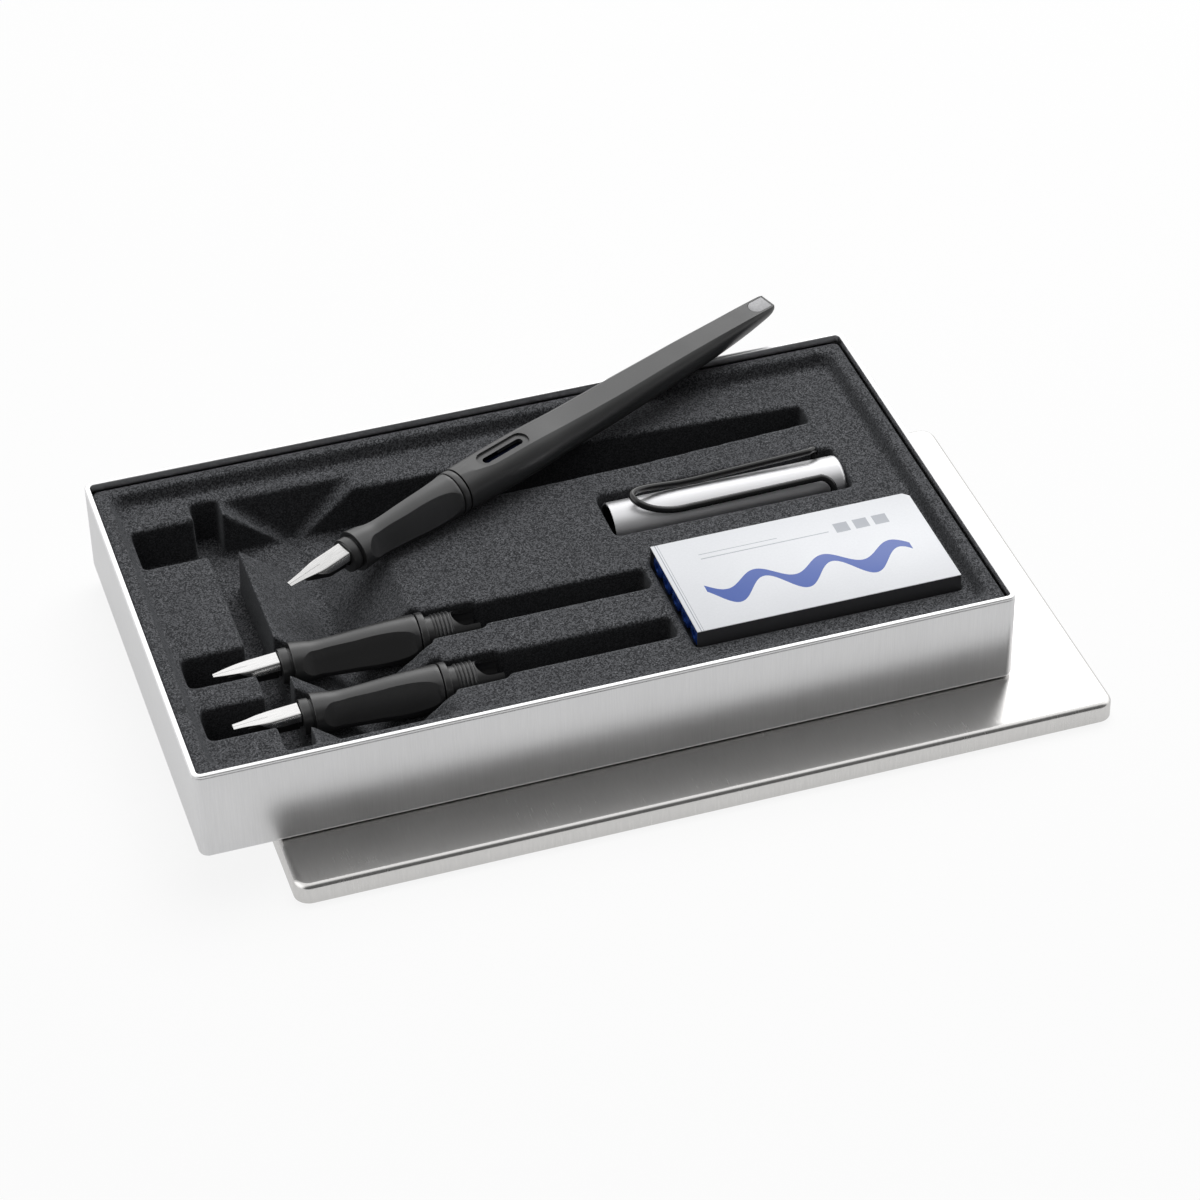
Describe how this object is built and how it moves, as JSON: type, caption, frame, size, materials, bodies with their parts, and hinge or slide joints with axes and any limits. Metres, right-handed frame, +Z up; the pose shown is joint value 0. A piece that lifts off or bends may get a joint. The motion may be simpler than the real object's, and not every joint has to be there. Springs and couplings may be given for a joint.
{
  "type": "calligraphy set box",
  "caption": "Flat aluminium tin for a calligraphy set: lid, tray, flocked insert, broad-nib pen, spare nib sections, cap with wire clip and an ink cartridge pack.",
  "frame": {"origin": "middle of the set's footprint, on the surface that it stands on", "axes": "+X along the tin's long side, +Y from the front to the back, +Z up"},
  "size_m": [0.2412, 0.1596, 0.0425],
  "materials": {
    "tin_aluminium": "brushed, clear lacquered sheet",
    "flock": "charcoal speckled flock on a thin formed sheet",
    "nib_steel": "polished stainless nib",
    "pen_plastic": "satin black moulding",
    "black_plastic": "black moulding",
    "inlay": "grey moulding",
    "ink_cartridge": "clear moulding filled with blue ink",
    "cap_aluminium": "satin anodised",
    "clip_wire": "black lacquered spring wire",
    "white_card": "coated white card",
    "dark_card": "dark card"
  },
  "bodies": {
    "lid": {"lid": "tin_aluminium"},
    "tray": {"tray": "tin_aluminium"},
    "insert": {"insert": "flock"},
    "pen_barrel_body": {"pen_barrel": "pen_plastic", "pen_tail_inlay": "inlay"},
    "pen_ring_body": {"pen_ring": "pen_plastic"},
    "pen_section_body": {"pen_section": "pen_plastic", "pen_nib": "nib_steel", "pen_feed": "black_plastic", "pen_cartridge": "ink_cartridge"},
    "spare_1": {"spare_1_nib": "nib_steel", "spare_1_feed": "black_plastic", "spare_1_section": "pen_plastic", "spare_1_ring": "pen_plastic"},
    "spare_2": {"spare_2_nib": "nib_steel", "spare_2_feed": "black_plastic", "spare_2_section": "pen_plastic", "spare_2_ring": "pen_plastic"},
    "cap": {"cap_tube": "cap_aluminium", "cap_liner": "black_plastic", "cap_end_plug": "black_plastic"},
    "clip": {"cap_clip": "clip_wire"},
    "pack": {"pack_sleeve": "white_card", "pack_tray": "dark_card", "pack_cartridge_1": "ink_cartridge", "pack_cartridge_2": "ink_cartridge", "pack_cartridge_3": "ink_cartridge", "pack_cartridge_4": "ink_cartridge", "pack_cartridge_5": "ink_cartridge"}
  },
  "joints": [
    {"name": "tray_lift", "type": "slide", "parent": "lid", "child": "tray", "axis": [0, 0, 1], "range_m": [0, 0.06]},
    {"name": "insert_lift", "type": "slide", "parent": "tray", "child": "insert", "axis": [0, 0, 1], "range_m": [0, 0.04]},
    {"name": "pen_lift", "type": "slide", "parent": "insert", "child": "pen_barrel_body", "axis": [0, 0, 1], "range_m": [0, 0.06]},
    {"name": "section_unscrew", "type": "slide", "parent": "pen_barrel_body", "child": "pen_ring_body", "axis": [-0.9114, -0.4096, -0.0386], "range_m": [0, 0.005]},
    {"name": "section_turn", "type": "hinge", "parent": "pen_ring_body", "child": "pen_section_body", "pos_m": [-0.02413, 0.03081, 0.03382], "axis": [-0.9114, -0.4096, -0.0386], "range_deg": [0, 1714]},
    {"name": "spare_1_lift", "type": "slide", "parent": "insert", "child": "spare_1", "axis": [0, 0, 1], "range_m": [0, 0.05]},
    {"name": "spare_2_lift", "type": "slide", "parent": "insert", "child": "spare_2", "axis": [0, 0, 1], "range_m": [0, 0.05]},
    {"name": "cap_lift", "type": "slide", "parent": "insert", "child": "cap", "axis": [0, 0, 1], "range_m": [0, 0.05]},
    {"name": "clip_flex", "type": "hinge", "parent": "cap", "child": "clip", "pos_m": [0.074, 0.0151, 0.0221], "axis": [0, 0.9888, 0.1495], "range_deg": [0, 5], "stiffness_Nm_per_rad": 0.4},
    {"name": "pack_lift", "type": "slide", "parent": "insert", "child": "pack", "axis": [0, 0, 1], "range_m": [0, 0.04]}
  ],
  "couplings": [
    {"joint": "section_unscrew", "follows": "section_turn", "m_per_rad": 0.00016711}
  ]
}
